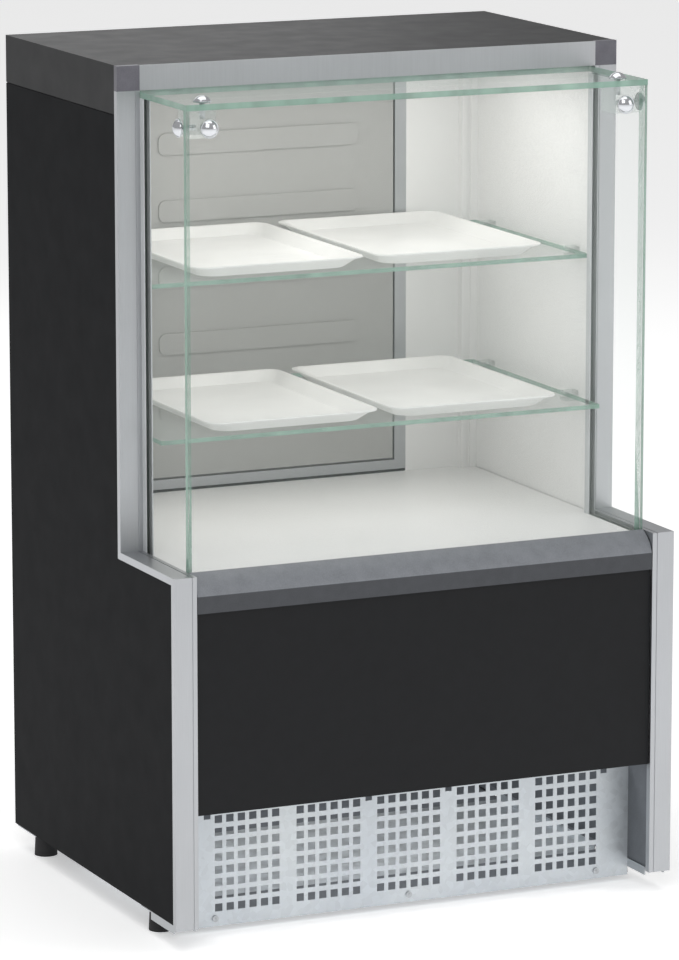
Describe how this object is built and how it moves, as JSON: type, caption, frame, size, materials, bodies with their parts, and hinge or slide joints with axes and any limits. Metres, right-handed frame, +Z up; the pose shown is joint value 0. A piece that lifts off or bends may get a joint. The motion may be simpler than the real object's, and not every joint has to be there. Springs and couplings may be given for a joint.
{
  "type": "bakery display case",
  "caption": "Glass-fronted countertop-height bakery display case with shelves, trays, a perforated base grille and a hinged rear door.",
  "frame": {"origin": "on the floor, at the centre of the base's footprint", "axes": "+Z up, +X to the right seen from the customer's side, +Y towards the seller's door at the rear"},
  "size_m": [0.75, 0.6, 1.175],
  "materials": {
    "black_paint": "satin powder coat",
    "base_paint": "satin powder coat",
    "white_paint": "satin",
    "grey_liner": "satin",
    "foam": "rigid foam",
    "anodised": "satin anodised",
    "corner_grey": "satin",
    "bumper_grey": "satin",
    "galvanised": "galvanised",
    "chrome": "polished",
    "glass": "clear",
    "tray_white": "glossy melamine",
    "clear_plastic": "clear acrylic",
    "seal_grey": "matt",
    "gasket_black": "matt",
    "black_plastic": "fine texture",
    "switch_plastic": "gloss",
    "diffuser": "opal",
    "white_plastic": "matt",
    "foot_rubber": "matt",
    "pivot_steel": "zinc plated"
  },
  "bodies": {
    "cabinet": {"side_panel_left": "black_paint", "side_panel_right": "black_paint", "side_core_left": "foam", "side_core_right": "foam", "side_liner_left": "white_paint", "side_liner_right": "white_paint", "base_liners": "base_paint", "lower_post_left": "anodised", "lower_post_right": "anodised", "ledge_rail_left": "anodised", "ledge_rail_right": "anodised", "upper_post_left": "anodised", "upper_post_right": "anodised", "corner_block_left": "corner_grey", "corner_block_right": "corner_grey", "top_beam": "anodised", "top_cover": "black_paint", "ceiling_panel": "white_paint", "lamp_housing": "anodised", "lamp_diffuser": "diffuser", "lamp_driver": "white_plastic", "front_glass": "glass", "top_glass": "glass", "side_glass_left": "glass", "side_glass_right": "glass", "corner_connector_left": "clear_plastic", "corner_connector_right": "clear_plastic", "connector_screws": "chrome", "glass_seals": "seal_grey", "shelf_upper": "glass", "shelf_lower": "glass", "shelf_clips": "clear_plastic", "deck_panel": "white_paint", "bumper": "bumper_grey", "front_panel": "black_paint", "grille": "galvanised", "grille_screws": "pivot_steel", "front_cross_rail": "base_paint", "base_pan": "galvanised", "rear_base_plate": "base_paint", "foot_plates": "pivot_steel", "feet": "foot_rubber", "door_frame": "anodised", "rear_liners": "white_paint", "rear_panels": "black_paint", "rear_lower_panel": "black_paint", "switch_bezel": "black_plastic", "power_inlet": "black_plastic", "hinge_pivots": "pivot_steel"},
    "rear_door": {"door_shell": "black_paint", "door_liner": "grey_liner", "door_gasket": "gasket_black", "door_handle": "black_plastic", "hinge_bushes": "white_plastic"},
    "switch_rocker": {"switch_rocker": "switch_plastic"},
    "tray_upper_left": {"tray_upper_left": "tray_white"},
    "tray_upper_right": {"tray_upper_right": "tray_white"},
    "tray_lower_left": {"tray_lower_left": "tray_white"},
    "tray_lower_right": {"tray_lower_right": "tray_white"}
  },
  "joints": [
    {"name": "rear_door_hinge", "type": "hinge", "parent": "cabinet", "child": "rear_door", "pos_m": [-0.203, 0.294, 0.8145], "axis": [0, 0, 1], "range_deg": [0, 110]},
    {"name": "switch_rocker_tilt", "type": "hinge", "parent": "cabinet", "child": "switch_rocker", "pos_m": [0.25, 0.2875, 0.43], "axis": [1, 0, 0], "range_deg": [-8, 8]},
    {"name": "tray_upper_left_lift", "type": "slide", "parent": "cabinet", "child": "tray_upper_left", "axis": [0, 0, 1], "range_m": [0, 0.1]},
    {"name": "tray_upper_right_lift", "type": "slide", "parent": "cabinet", "child": "tray_upper_right", "axis": [0, 0, 1], "range_m": [0, 0.1]},
    {"name": "tray_lower_left_lift", "type": "slide", "parent": "cabinet", "child": "tray_lower_left", "axis": [0, 0, 1], "range_m": [0, 0.1]},
    {"name": "tray_lower_right_lift", "type": "slide", "parent": "cabinet", "child": "tray_lower_right", "axis": [0, 0, 1], "range_m": [0, 0.1]}
  ]
}
